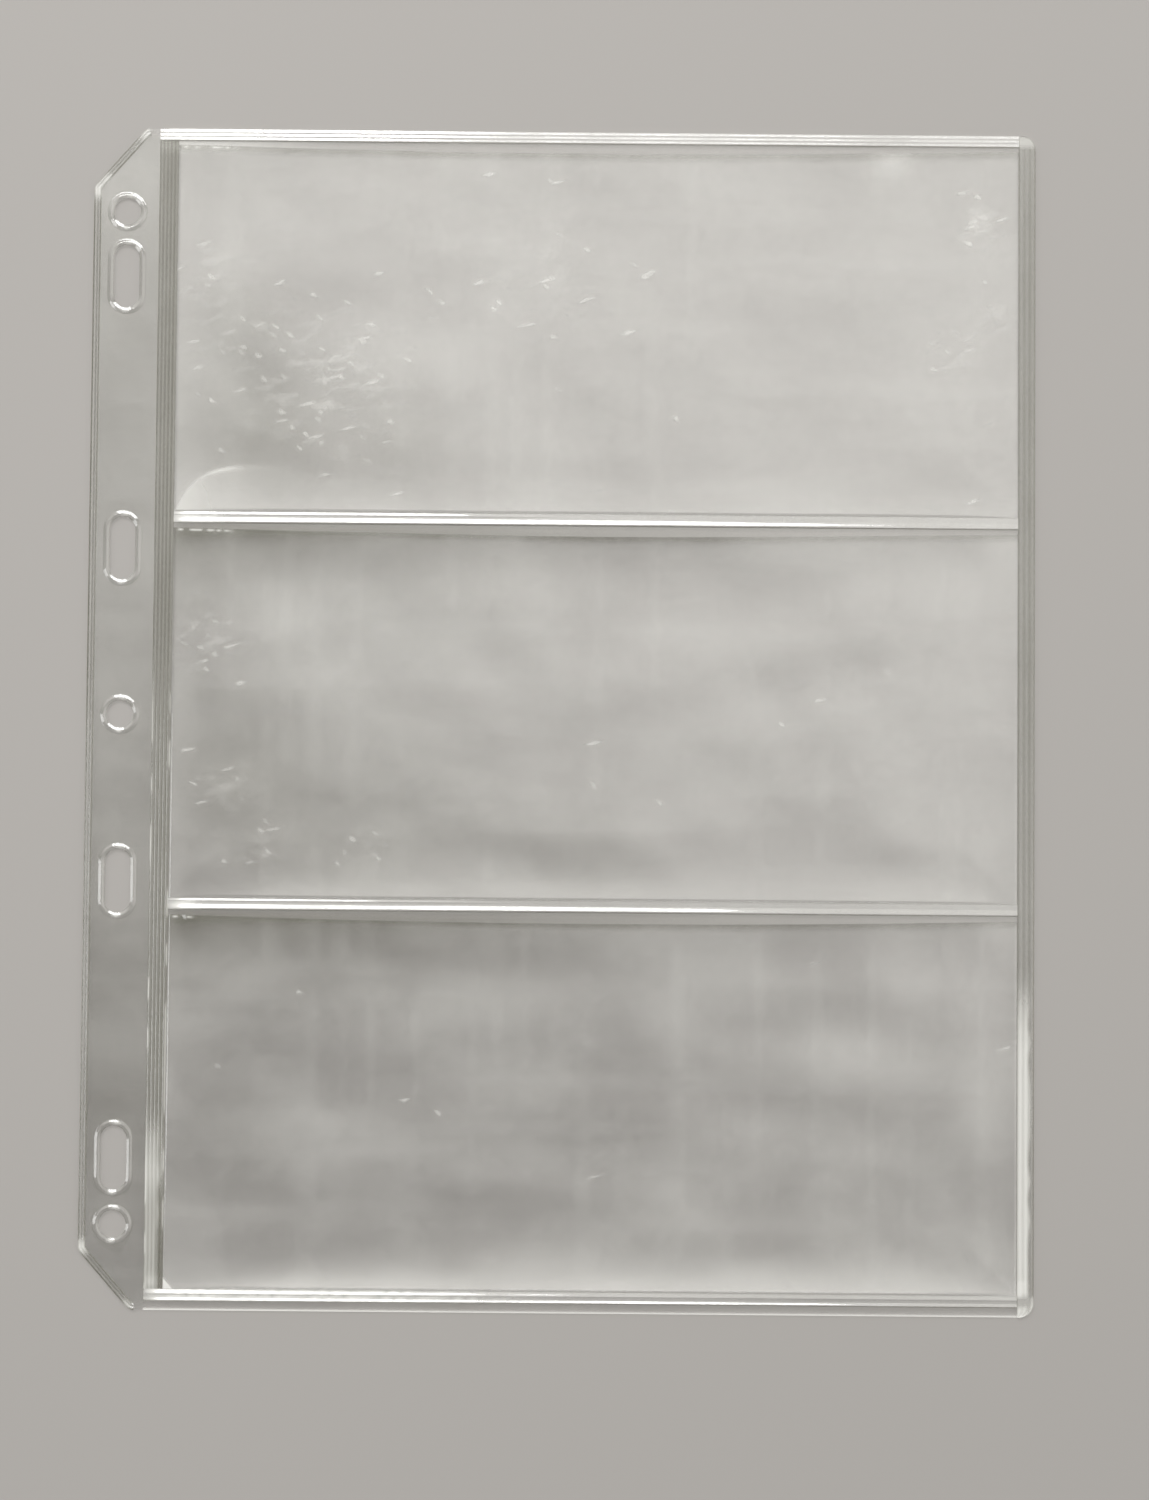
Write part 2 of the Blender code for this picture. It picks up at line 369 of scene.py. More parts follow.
def film_piece(name, points, quads, thickness, finish, **marks):
    """A piece of film: a surface moved up and down by half its thickness, and closed by a strip of
    faces along every edge that belongs to one quad only. The marks are kept at its points for its
    finish: milk, how much whiter it is there, by milky haze and by painted highlights;
    line, how much of the dark line that a cut or pressed edge shows, and of painted shade; scuffs,
    how scuffed it is."""
    count = len(points)
    half = np.array((0, 0, thickness / 2))
    sides = np.stack((quads, np.roll(quads, -1, axis=1)), -1).reshape(-1, 2)
    _, at, uses = np.unique(np.sort(sides, axis=1), axis=0, return_index=True, return_counts=True)
    start, end = sides[at[uses == 1]].T
    rim = np.column_stack((start, start + count, end + count, end))
    faces = np.concatenate((quads, quads[:, ::-1] + count, rim))
    mesh = bpy.data.meshes.new(name)
    mesh.vertices.add(2 * count)
    mesh.vertices.foreach_set("co", np.concatenate((points + half, points - half)).ravel())
    mesh.loops.add(faces.size)
    mesh.loops.foreach_set("vertex_index", faces.ravel())
    mesh.polygons.add(len(faces))
    mesh.polygons.foreach_set("loop_start", np.arange(0, faces.size, 4))
    mesh.update(calc_edges=True)
    mesh.shade_smooth()
    mesh.set_sharp_from_angle(angle=CREASE_ANGLE)
    for mark, values in marks.items():
        kept = mesh.attributes.new(mark, "FLOAT", "POINT")
        kept.data.foreach_set("value", np.tile(np.asarray(values, np.float32).ravel(), 2))
    mesh.materials.append(finish)
    piece = bpy.data.objects.new(name, mesh)
    scene.collection.objects.link(piece)
    return piece


def film_wear():
    """A node group for handled vinyl, each output from 0 to 1: soft clouds, faint straight rolling
    marks, and scuffs, which are smudges with short scratches among them, where the given share isn't
    zero."""
    group = bpy.data.node_groups.new("film wear", "ShaderNodeTree")
    group.interface.new_socket("Vector", in_out="INPUT", socket_type="NodeSocketVector")
    group.interface.new_socket("Scuffs", in_out="INPUT", socket_type="NodeSocketFloat")
    for name in ("Clouds", "Rolling", "Scuffing"):
        group.interface.new_socket(name, in_out="OUTPUT", socket_type="NodeSocketFloat")
    given = group.nodes.new("NodeGroupInput")

    def cells(length, width, turn=0.0, shift=(0, 0)):
        """The place measured in cells of a length and width in millimetres, turned by degrees."""
        return node(
            group,
            "ShaderNodeMapping",
            {
                "Vector": given.outputs["Vector"],
                "Location": (*shift, 0),
                "Rotation": (0, 0, math.radians(turn)),
                "Scale": (length * MM, width * MM, 1),
            },
            vector_type="TEXTURE",
        ).outputs[0]

    def noise(at, detail):
        """Soft noise with one hump to a cell, and finer ones within it by the detail."""
        return node(
            group,
            "ShaderNodeTexNoise",
            {"Vector": at, "Scale": 1.0, "Detail": detail, "Roughness": 0.55},
            noise_dimensions="2D",
        ).outputs["Fac"]

    def strokes(at, half_width):
        """Thin bent strokes, one to a cell, where the cell's own random number is under the share: the
        further under, the whiter."""
        bent = node(
            group,
            "ShaderNodeTexNoise",
            {"Vector": at, "Scale": 2.3, "Detail": 2.0},
            noise_dimensions="2D",
        ).outputs["Color"]
        at = node(
            group, "ShaderNodeVectorMath", {0: bent, 1: (0.5, 0.5, 0), 2: at}, operation="MULTIPLY_ADD"
        ).outputs[0]
        dots = node(
            group, "ShaderNodeTexVoronoi", {"Vector": at, "Scale": 1.0}, voronoi_dimensions="2D"
        )
        pick = node(group, "ShaderNodeSeparateColor", {0: dots.outputs["Color"]}).outputs[0]
        share = math_node(group, "MAXIMUM", given.outputs["Scuffs"], 0.001)
        white = soften(group, math_node(group, "DIVIDE", pick, share), 0.0, 1.0, 1.0, 0.0)
        stroke = soften(group, dots.outputs["Distance"], 0.0, half_width, 1.0, 0.0)
        return math_node(group, "MULTIPLY", stroke, white)

    clouds = soften(group, noise(cells(length=34, width=22), detail=3.0), low=0.30, high=0.72)
    rolled_across = noise(cells(length=150, width=7, shift=(0.3, 0.1)), detail=1.0)
    rolled_up = noise(cells(length=6, width=120, shift=(0.1, 0.4)), detail=1.0)
    rolling = math_node(
        group,
        "MAXIMUM",
        soften(group, rolled_across, low=0.45, high=0.72),
        soften(group, rolled_up, low=0.48, high=0.74),
    )
    scratches = math_node(
        group,
        "MAXIMUM",
        strokes(cells(length=7, width=1.7, turn=14), half_width=0.30),
        strokes(cells(length=3.5, width=1.9, turn=-30, shift=(0.2, 0.5)), half_width=0.34),
    )
    smudges = noise(cells(length=6, width=3, turn=14, shift=(0.7, 0.2)), detail=4.0)
    smudges = soften(group, smudges, low=0.50, high=0.72)
    smudges = math_node(group, "MULTIPLY", smudges, given.outputs["Scuffs"])
    scuffing = math_node(group, "MAXIMUM", scratches, smudges)
    result = group.nodes.new("NodeGroupOutput")
    group.links.new(clouds, result.inputs["Clouds"])
    group.links.new(rolling, result.inputs["Rolling"])
    group.links.new(scuffing, result.inputs["Scuffing"])
    return group


wear = film_wear()
MILK_AND_HIGHLIGHT_COLOUR = (0.93, 0.925, 0.895, 1)
LINE_AND_SHADE_COLOUR = (0.15, 0.146, 0.105, 1)
LINE_AND_SHADE_COVER = 0.60
ROLLING_SHARE = 0.35
SKIN_ROUGHNESS, CLOUD_ROUGHNESS = 0.6, 0.05
GRAZING_POWER = 5.0


def vinyl(name, veil, clouding, mirror, gloss, shift, scuffing=0.0):
    """Clear vinyl: light goes straight through, but for a thin skin of veil, clouds, scuffs, milky
    places and painted highlights, dark edge lines and painted shade, whose share is the skin's alpha,
    and a mirror that strengthens towards grazing views lies on top. Rays towards the lamps pass without
    the pattern, which they don't show. The shift moves the pattern, so that no two finishes have the
    same."""
    finish = bpy.data.materials.new(name)
    finish.use_nodes = True
    tree = finish.node_tree
    tree.nodes.clear()
    place = node(
        tree,
        "ShaderNodeMapping",
        {"Vector": node(tree, "ShaderNodeTexCoord").outputs["Object"], "Location": shift},
    ).outputs[0]
    milk, line, scuffs = (
        node(tree, "ShaderNodeAttribute", attribute_name=mark).outputs["Fac"]
        for mark in ("milk", "line", "scuffs")
    )
    worn = node(tree, "ShaderNodeGroup", node_tree=wear)
    tree.links.new(place, worn.inputs["Vector"])
    tree.links.new(scuffs, worn.inputs["Scuffs"])
    pale = math_node(tree, "MULTIPLY_ADD", worn.outputs["Clouds"], clouding, veil)
    pale = math_node(tree, "MULTIPLY_ADD", worn.outputs["Rolling"], clouding * ROLLING_SHARE, pale)
    if scuffing:
        pale = math_node(tree, "MULTIPLY_ADD", worn.outputs["Scuffing"], scuffing, pale)
    pale = math_node(tree, "ADD", pale, milk)
    dark = math_node(tree, "MULTIPLY", line, LINE_AND_SHADE_COVER)
    cover = math_node(tree, "ADD", pale, dark)
    colour = mix_colours(tree, math_node(tree, "DIVIDE", dark, cover), MILK_AND_HIGHLIGHT_COLOUR, LINE_AND_SHADE_COLOUR)
    skin = node(
        tree,
        "ShaderNodeBsdfPrincipled",
        {"Base Color": colour, "Roughness": SKIN_ROUGHNESS, "Specular IOR Level": 0.0, "Alpha": cover},
    )
    dulled = math_node(tree, "MULTIPLY_ADD", worn.outputs["Clouds"], CLOUD_ROUGHNESS, gloss)
    shine = node(tree, "ShaderNodeBsdfGlossy", {"Color": (1, 1, 1, 1), "Roughness": dulled})
    facing = node(tree, "ShaderNodeLayerWeight", {"Blend": 0.5}).outputs["Facing"]
    grazing = math_node(tree, "POWER", facing, GRAZING_POWER)
    share = math_node(tree, "MULTIPLY_ADD", grazing, 1 - mirror, mirror)
    coated = node(tree, "ShaderNodeMixShader", {0: share, 1: skin.outputs[0], 2: shine.outputs[0]})
    passing = 1 - mirror - veil - clouding / 2
    lamp_pass = node(tree, "ShaderNodeBsdfTransparent", {"Color": (passing, passing, passing, 1)})
    to_lamp = node(tree, "ShaderNodeLightPath").outputs["Is Shadow Ray"]
    whole = node(
        tree, "ShaderNodeMixShader", {0: to_lamp, 1: coated.outputs[0], 2: lamp_pass.outputs[0]}
    )
    result = node(tree, "ShaderNodeOutputMaterial")
    tree.links.new(whole.outputs[0], result.inputs["Surface"])
    return finish


def ease(value, low, high):
    """A smooth step from 0 at low to 1 at high: three squares less two cubes of the way between."""
    t = np.clip((value - low) / (high - low), 0, 1)
    return t * t * (3 - 2 * t)


def bell(value, reach):
    """A bell curve: 1 at zero, about a third at the reach."""
    return np.exp(-((value / reach) ** 2))


# A painted highlight along the page's cut foot and outer corner: its width, its strength, more of it on the
# left, and where it fades out above the foot.
LIP_HIGHLIGHT_WIDTH = 0.30 * MM
LIP_HIGHLIGHT, LIP_HIGHLIGHT_LEFT = 0.72, 0.28
LIP_FADES, LIP_ENDS = 2 * MM, 5 * MM
# A painted highlight, a pale streak under the head weld: its strength, drop and reach, and where it fades
# out.
HEAD_SHEEN, HEAD_SHEEN_DROP, HEAD_SHEEN_REACH = 0.35, 3.4 * MM, 1.1 * MM
HEAD_SHEEN_FADES, HEAD_SHEEN_ENDS = -85 * MM, -45 * MM
SEAM_SHADE, SEAM_SHADE_DROP, SEAM_SHADE_REACH = 0.40, 1.7 * MM, 1.6 * MM
SEAM_SHADE_STARTS, SEAM_SHADE_FULL = 3 * MM, 6 * MM
PANEL_MARKS_START = -0.5 * MM
BACK_RIPPLE, BACK_WAVES = 0.05 * MM, ((95, 0, 1), (40, 120, 0))

back_vinyl = vinyl(
    "back vinyl", veil=0.006, clouding=0.018, mirror=0.072, gloss=0.05, shift=(0.3, 0.1, 0)
)
back_columns = np.concatenate((
    np.linspace(fold_from, fold_to, FOLD_STEPS + 1),
    np.linspace(fold_to, page_right - LIP_HIGHLIGHT_WIDTH * 3, round((page_right - fold_to) / PANEL_STEP))[1:],
    page_right - LIP_HIGHLIGHT_WIDTH * np.array((2, 1, 0.5, 0)),
))


def page_right_end(rows):
    """The page's right-hand edge at each row: straight, with an arc that turns into head and foot."""
    past = np.maximum(PAGE_CORNER - np.minimum(rows - page_foot, page_head - rows), 0)
    return page_right - PAGE_CORNER + np.sqrt(np.maximum(PAGE_CORNER**2 - past**2, 0))


def lip_highlight(x, y):
    """A painted highlight: a white line along the cut edge at the foot and round the outer corner, a
    bell curve of the distance from the page's outline there, whitest on the left."""
    past_foot = np.maximum(page_foot + PAGE_CORNER - y, 0)
    past_right = np.maximum(x - page_right + PAGE_CORNER, 0)
    inside = PAGE_CORNER - np.hypot(past_foot, past_right)
    white = LIP_HIGHLIGHT + LIP_HIGHLIGHT_LEFT * ease(x, 0, page_left)
    return white * bell(inside, LIP_HIGHLIGHT_WIDTH) * ease(y, page_foot + LIP_ENDS, page_foot + LIP_FADES)


def head_sheen(x, y):
    """A painted highlight: a pale streak just under the head weld, a bell curve of the distance from its
    middle, which fades out from the fold towards the middle of the page."""
    streak = HEAD_SHEEN * bell(page_head - HEAD_SHEEN_DROP - y, HEAD_SHEEN_REACH)
    return streak * ease(x, HEAD_SHEEN_ENDS, HEAD_SHEEN_FADES)


def seam_shade(x, y):
    """The dusk under the two seams between pockets, where the next mouth stands open: a bell curve of
    the distance from a line just under each seam, which fades out from the fold to the outer edge."""
    seams = [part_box(f"{pocket}_pocket_foot_weld")[0].y for pocket in ("top", "middle")]
    dusk = sum(SEAM_SHADE * bell(y - seam + SEAM_SHADE_DROP, SEAM_SHADE_REACH) for seam in seams)
    return dusk * ease(x, page_right, page_left)


plan, _, quads = punched_sheet(0.0, back_columns, page_right_end)
x, y = plan.T
# Two slow waves, about 66 mm and 50 mm long, keep the sheet from lying dead flat.
ripple = sum(
    (0.25 * np.sin(x * right + y * up + phase) for right, up, phase in BACK_WAVES), start=0.5
)
back = film_piece(
    "back_sheet",
    np.column_stack((plan, film / 2 + BACK_RIPPLE * ripple)),
    quads,
    film,
    back_vinyl,
    milk=(lip_highlight(x, y) + head_sheen(x, y)) * ease(x, fold_to + PANEL_MARKS_START, fold_to),
    line=seam_shade(x, y) * ease(x, fold_to + SEAM_SHADE_STARTS, fold_to + SEAM_SHADE_FULL),
)
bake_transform(back, "pocket_panel", "binding_margin", start=(fold_to, 0, 0), end=(fold_from, 0, 0))
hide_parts("back_film", "margin_back_film")


# The margin's front film: a second layer of the same vinyl, welded to the back film along its free
# edges and punched together with it. The punch leaves a raised bead round each hole.

EDGE_WELD = 1.5 * MM
HOLE_BEAD_HEIGHT = 0.21 * MM
HOLE_GLINT = 0.6
HOLE_GLINT_PLACES = ((0.5, 1, 0.9), (-0.3, -1, 0.8))
HOLE_LINE, HOLE_EDGE_LINE, BEAD_EDGE_LINE = 0.45, 0.14 * MM, 0.22 * MM
BEAD_LINE_SHARE = 0.6
MARGIN_LIFT, MARGIN_SWAY = 0.1 * MM, 0.10 * MM
MARGIN_SHADE, FOOT_SHADE_LESS = 0.17, 0.45
FOOT_SHADE_FROM, FOOT_SHADE_TO = -85 * MM, -115 * MM
MARGIN_HAZE, MARGIN_HAZE_FROM, MARGIN_HAZE_TO = 0.06, 85 * MM, 120 * MM

margin_vinyl = vinyl(
    "margin vinyl", veil=0.0, clouding=0.06, mirror=0.072, gloss=0.05, shift=(1.3, 0.7, 0)
)
margin_columns = np.linspace(fold_from, fold_to, FOLD_STEPS + 1)


def spots(x, y, places):
    """A sum of soft round spots: each has its centre and reach in millimetres, and its strength."""
    east, north, reach, strength = np.array(places).T
    away = np.hypot(x[..., None] - east * MM, y[..., None] - north * MM)
    return (strength * bell(away, reach * MM)).sum(axis=-1)


# A glint lies at both ends of each hole: so many millimetres right of its middle, up or down, and with
# a reach in millimetres.
hole_ends = []
for centre, is_slot in ring_holes:
    half_length = (SLOT_LENGTH if is_slot else ROUND_HOLE) / 2 + HOLE_BEAD_WIDTH / 2
    for right, up, reach in HOLE_GLINT_PLACES:
        north = (centre[1] + up * half_length) / MM
        hole_ends.append((centre[0] / MM + right, north, reach, HOLE_GLINT))
plan, clear_of_hole, quads = punched_sheet(
    EDGE_WELD, margin_columns, lambda rows: np.full(len(rows), fold_to)
)
x, y = plan.T
bead = 1 - np.abs(2 * np.clip(clear_of_hole / HOLE_BEAD_WIDTH, 0, 1) - 1)
# Waves about 42 mm long up the margin, whose height changes along it and across it.
sway = MARGIN_SWAY * (1 + np.sin(y * 150) * np.sin(y * 31 + x * 160))
bead_line = BEAD_LINE_SHARE * bell(clear_of_hole - HOLE_BEAD_WIDTH, BEAD_EDGE_LINE)
hole_line = HOLE_LINE * (bell(clear_of_hole, HOLE_EDGE_LINE) + bead_line)
shade = MARGIN_SHADE * (1 - FOOT_SHADE_LESS * ease(y, FOOT_SHADE_FROM, FOOT_SHADE_TO))
haze = MARGIN_HAZE * ease(y, MARGIN_HAZE_FROM, MARGIN_HAZE_TO)
margin_front = film_piece(
    "margin_front_sheet",
    np.column_stack((plan, 1.5 * film + MARGIN_LIFT + sway + HOLE_BEAD_HEIGHT * bead)),
    quads,
    film,
    margin_vinyl,
    milk=spots(x, y, hole_ends) * bead + haze,
    line=np.maximum(hole_line, shade),
)
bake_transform(margin_front, "pocket_panel", "binding_margin", start=(fold_to, 0, 0), end=(fold_from, 0, 0))
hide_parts("margin_front_film")


# The foot and head welds: bands where high-frequency electrodes fused the films. Two or three beads
# were squeezed up along each, with a long slope to the page's head, so they shine as white lines.

WELD_BASE = 0.50 * MM
WELD_THICKNESS = 0.24 * MM
WELD_STEP = 1.5 * MM
FOOT_BEADS = {
    "top": (0.32, ((0.00, 0.31, 0.20, 0.48, 1.00), (0.46, 1.00, 0.45, 1.00, 0.65))),
    "middle": (0.36, ((0.00, 0.27, 0.16, 0.42, 1.00), (0.44, 1.00, 0.40, 1.00, 0.70))),
    "bottom": (0.45, ((0.00, 0.48, 0.25, 0.75, 0.55), (0.66, 1.00, 0.50, 1.00, 0.35))),
}
HEAD_BEADS = 0.29, (
    (0.00, 0.34, 0.10, 0.45, 0.80),
    (0.34, 0.67, 0.10, 0.42, 0.80),
    (0.67, 1.00, 0.08, 0.38, 0.80),
)
# Painted highlights: white patches at each weld's left end, by strength and by how far along they reach.
FOOT_PATCH_HIGHLIGHTS = {"top": (0.80, 0.07), "middle": (0.60, 0.045), "bottom": (0.80, 0.50)}
HEAD_PATCH_HIGHLIGHT = 0.65, 0.14
BEAD_RUN_IN = 3.5 * MM
SWELL_WAVES = ((0.08, 9), (0.05, 23), (0.05, 61))
PATCH_LENGTH, PATCH_BENDS, PATCH_SLANT = 0.8 * MM, 2.3 * MM, 5
# The welds' own milkiness, and a painted highlight that grows towards their left ends.
WELD_MILK, LEFT_HIGHLIGHT = 0.08, 0.12
EDGE_LINE = 0.16 * MM
UPPER_LINE = 0.05
POINTS_ACROSS_WELD = 61

weld_vinyl = vinyl(
    "welded vinyl", veil=0.03, clouding=0.05, mirror=0.11, gloss=0.11, shift=(2.1, 1.9, 0)
)


def slanted_bead(across, starts, ends):
    """A bead across a weld, in shares of the weld's width: it rises in a slope that steepens a little
    and then falls steeply, as t to the power 1.4 times one less its sixth power, where t runs from 0 to
    1 over the bead, all times the bead's own width."""
    t = np.clip((across - starts) / (ends - starts), 0, 1)
    return (ends - starts) * t**1.4 * (1 - t**6)


def slow_swell(along, seed):
    """A slow unevenness along a weld, about 1: a few waves of unlike height and length, whose phases
    are drawn by a seed."""
    phases = np.random.default_rng(seed).uniform(0, 2 * math.pi, len(SWELL_WAVES))
    waves = zip(SWELL_WAVES, phases)
    return sum((height * np.sin(rate * along + phase) for (height, rate), phase in waves), start=1)


def uneven_wave(along, length, bends, bent, turn=0.0, phase=0.0):
    """A wave whose humps lie at uneven distances: the sine of the way over its length, plus a phase,
    plus bent times a slower sine, of the way over the bends' length plus a turn."""
    return np.sin(along / length + phase + bent * np.sin(along / bends + turn))


def edge_lines(across, width, first=1.0):
    """A dark line along both borders of a band, which fades inwards, with its strength at the first."""
    return first * bell(across * width, EDGE_LINE) + bell((1 - across) * width, EDGE_LINE)


def level_weld(name, stands_for, slope, beads, patch_highlight, seed, left_end):
    """A weld that runs across the page: its beads' profile, which is as steep as the slope, carried
    along it with a slow swell. A bead starts and ends at two shares of the weld's width, and grows lower
    where the electrode pressed less: from one share of the way to another, by a share. All rise from
    nothing over a run-in at the left, where uneven white patches of painted highlight are laid on, by so
    much up to a share of the way. A painted highlight also whitens the weld towards its left end."""
    low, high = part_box(stands_for)
    along, across = np.meshgrid(
        np.linspace(0, 1, round((high.x - left_end) / WELD_STEP)),
        np.linspace(0, 1, POINTS_ACROSS_WELD),
        indexing="ij",
    )
    x = left_end + along * (high.x - left_end)
    y = high.y - across * (high.y - low.y)
    rise = sum(
        slanted_bead(across, starts, ends) * (1 - fades_by * ease(along, fades_from, fades_to))
        for starts, ends, fades_from, fades_to, fades_by in beads
    )
    run_in = ease(x, left_end, left_end + BEAD_RUN_IN)
    z = WELD_BASE + slope * (high.y - low.y) * rise * run_in * slow_swell(along, seed)
    white, patch_highlight_end = patch_highlight
    slant = PATCH_SLANT * across
    patches = 0.7 + 0.3 * uneven_wave(x, PATCH_LENGTH, PATCH_BENDS, bent=2.0, turn=seed, phase=slant)
    painted_patches = white * ease(along, patch_highlight_end, patch_highlight_end / 3) * run_in * patches
    weld = film_piece(
        name,
        np.stack((x, y, z), -1).reshape(-1, 3),
        grid_quads(*x.shape),
        WELD_THICKNESS,
        weld_vinyl,
        milk=WELD_MILK + LEFT_HIGHLIGHT * (1 - along) ** 2 + painted_patches,
        line=edge_lines(across, high.y - low.y, first=UPPER_LINE),
    )
    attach(weld, "pocket_panel")
    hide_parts(stands_for)


POCKETS = ("top", "middle", "bottom")
fold_weld_low, fold_weld_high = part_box("left_weld")
for number, pocket in enumerate(POCKETS):
    level_weld(
        f"{pocket}_pocket_foot_bead",
        f"{pocket}_pocket_foot_weld",
        *FOOT_BEADS[pocket],
        patch_highlight=FOOT_PATCH_HIGHLIGHTS[pocket],
        seed=number,
        left_end=fold_weld_low.x if pocket == "bottom" else fold_weld_high.x,
    )
level_weld(
    "head_weld_bead", "top_weld", *HEAD_BEADS, patch_highlight=HEAD_PATCH_HIGHLIGHT, seed=11, left_end=fold_weld_low.x
)


# The side welds: the band beside the fold and the band down the outer edge. Their electrodes were
# finely ribbed along the band, so they show thin upright lines; they are greyer than the foot welds,
# partly their own grey and partly painted shade, which is deepest in the grooves. The first ends at
# the head weld and the lowest foot weld, which run on past it.

POINTS_PER_RIB = 10
SHADE_FROM, SHADE_TO = 20 * MM, 150 * MM
HEAD_PALER, HEAD_PALER_FROM, HEAD_PALER_TO = 0.5, 24 * MM, 4 * MM
RIB_SHADE, GROOVE_SHADE = 0.8, 0.5
LEFT_SHADE, SHADE_ACROSS = 0.85, 0.3
FROST_FADE = 20 * MM
FROST_STARTS, FROST_FULL = 0.85, 0.55
FROST_WANDER, WANDER_LENGTH, WANDER_BENDS = 0.05, 2.1 * MM, 5.3 * MM
CROSSING_OUTSIDE, CROSSING_INSIDE = 0.6 * MM, 0.8 * MM
GLINT_LINE = 0.28 * MM
GLINT_FROM, GLINT_FULL = 20 * MM, -10 * MM
GLINT_LENGTH, GLINT_BENDS = 3.1 * MM, 7.7 * MM
# Painted highlights on the fold weld: soft pale patches and a glint at its foot, each with its centre and
# reach in millimetres and its strength.
FOLD_HIGHLIGHT_SPOTS = (
    (-85.2, -91.0, 4.0, 0.10),
    (-84.8, -97.0, 3.5, 0.16),
    (-85.5, -119.9, 1.2, 0.25),
)
# Painted highlights: glints at the outer weld's foot.
OUTER_HIGHLIGHT_SPOTS = (
    (98.3, -119.4, 0.9, 0.55),
    (98.0, -120.7, 0.7, 0.80),
)

side_vinyl = vinyl(
    "ribbed vinyl", veil=0.010, clouding=0.025, mirror=0.06, gloss=0.08, shift=(3.3, 0.4, 0)
)


def even_ribs(across, count):
    """Fine ribs side by side across a weld, from 0 to 1, as raised cosines."""
    return 0.5 - 0.5 * np.cos(2 * math.pi * count * across)


def upright_weld(
    name,
    stands_for,
    span,
    ribs,
    height,
    right_end,
    seed,
    shade,
    frost,
    frost_to,
    crossed,
    glint,
    highlight_spots,
):
    """A weld that runs up the page over a span: its ribs' profile, out to right_end, carried along it.
    It is darkened from one shade at its foot to another, partly its own grey and partly painted shade
    that is deepest in the grooves, and milkier by frost in its inner half up to a height above its foot.
    Where other welds cross it, it has no ribs and is milkier by what is given. A painted highlight, a
    broken white glint, runs along both borders below the middle, and painted highlights are added as
    spots."""
    low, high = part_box(stands_for)
    y, across = np.meshgrid(
        sheet_rows(*span), np.linspace(0, 1, POINTS_PER_RIB * ribs + 1), indexing="ij"
    )
    x = low.x + across * (right_end(y) - low.x)
    headward = ease(y, low.y + SHADE_FROM, low.y + SHADE_TO)
    headward -= HEAD_PALER * ease(y, high.y - HEAD_PALER_FROM, high.y - HEAD_PALER_TO)
    footward = ease(y, low.y + frost_to, low.y + frost_to - FROST_FADE)
    milk, ribbed = lip_highlight(x, y), 1.0
    for crossing, white in crossed.items():
        foot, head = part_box(crossing)[0].y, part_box(crossing)[1].y
        there = ease(y, foot - CROSSING_OUTSIDE, foot + CROSSING_INSIDE)
        there *= ease(y, head + CROSSING_OUTSIDE, head - CROSSING_INSIDE)
        milk = milk + white * there
        ribbed = ribbed - there
    rib = even_ribs(across, ribs) * ribbed
    # Partly the weld's own grey and partly painted shade, deepest in the grooves between the ribs.
    grooves = shade[0] + (shade[1] - shade[0]) * headward
    grooves = grooves * (RIB_SHADE + GROOVE_SHADE * (1 - rib) ** 2 * ribbed)
    grooves = grooves * (LEFT_SHADE + SHADE_ACROSS * across)
    wander = FROST_WANDER * uneven_wave(y, WANDER_LENGTH, WANDER_BENDS, bent=2.0)
    inner = ease(across + wander, FROST_STARTS, FROST_FULL)
    milk = milk + frost * footward * inner * (0.7 + 0.3 * rib) * ribbed
    for from_border, turn in ((across, 2.0), (1 - across, 0.0)):
        broken = ease(uneven_wave(y, GLINT_LENGTH, GLINT_BENDS, bent=2.4, turn=turn), -0.2, 0.7)
        glinting = bell(from_border * (high.x - low.x), GLINT_LINE) * broken
        milk = milk + glint * glinting * ease(y, GLINT_FROM, GLINT_FULL)
    milk = milk + spots(x, y, highlight_spots)
    weld = film_piece(
        name,
        np.stack((x, y, WELD_BASE + height * rib * slow_swell(y * 4, seed)), -1).reshape(-1, 3),
        grid_quads(*x.shape),
        WELD_THICKNESS,
        side_vinyl,
        milk=milk,
        line=np.maximum(grooves, edge_lines(across, high.x - low.x)),
    )
    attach(weld, "pocket_panel")
    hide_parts(stands_for)


upright_weld(
    "fold_weld_ribs",
    "left_weld",
    span=(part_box("bottom_pocket_foot_weld")[1].y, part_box("top_weld")[0].y),
    ribs=5,
    height=0.05 * MM,
    right_end=lambda rows: np.full_like(rows, fold_weld_high.x),
    seed=21,
    shade=(0.56, 0.52),
    frost=0.36,
    frost_to=45 * MM,
    crossed={},
    glint=0.55,
    highlight_spots=FOLD_HIGHLIGHT_SPOTS,
)
upright_weld(
    "outer_weld_ribs",
    "right_weld",
    span=(page_foot, page_head),
    ribs=3,
    height=0.05 * MM,
    right_end=page_right_end,
    seed=31,
    shade=(0.20, 0.42),
    frost=0.72,
    frost_to=74 * MM,
    crossed={"top_weld": 0.30, "bottom_pocket_foot_weld": 0.15},
    glint=0.0,
    highlight_spots=OUTER_HIGHLIGHT_SPOTS,
)


# The margin's edge weld: one narrow band along the margin's free edges and both chamfers, pressed with
# two ribs, which binds its front film to the back film.

EDGE_WELD_DROP, EDGE_RIBS, EDGE_RIB_HEIGHT = 0.12 * MM, 2, 0.13 * MM
EDGE_LINES_WIDER = 1.6
EDGE_GROOVE, EDGE_GROOVE_REACH = 0.5, 0.12
POINTS_ACROSS_EDGE = 25
# Painted highlights: glints at the ends of the chamfers and of the edge weld.
EDGE_HIGHLIGHT_SPOTS = (
    (-100.0, 112.6, 1.6, 0.75),
    (-98.2, 115.0, 1.2, 0.50),
    (-90.3, 125.2, 1.6, 0.60),
    (-100.2, -112.8, 1.4, 0.70),
    (-90.6, -125.2, 1.2, 0.40),
)

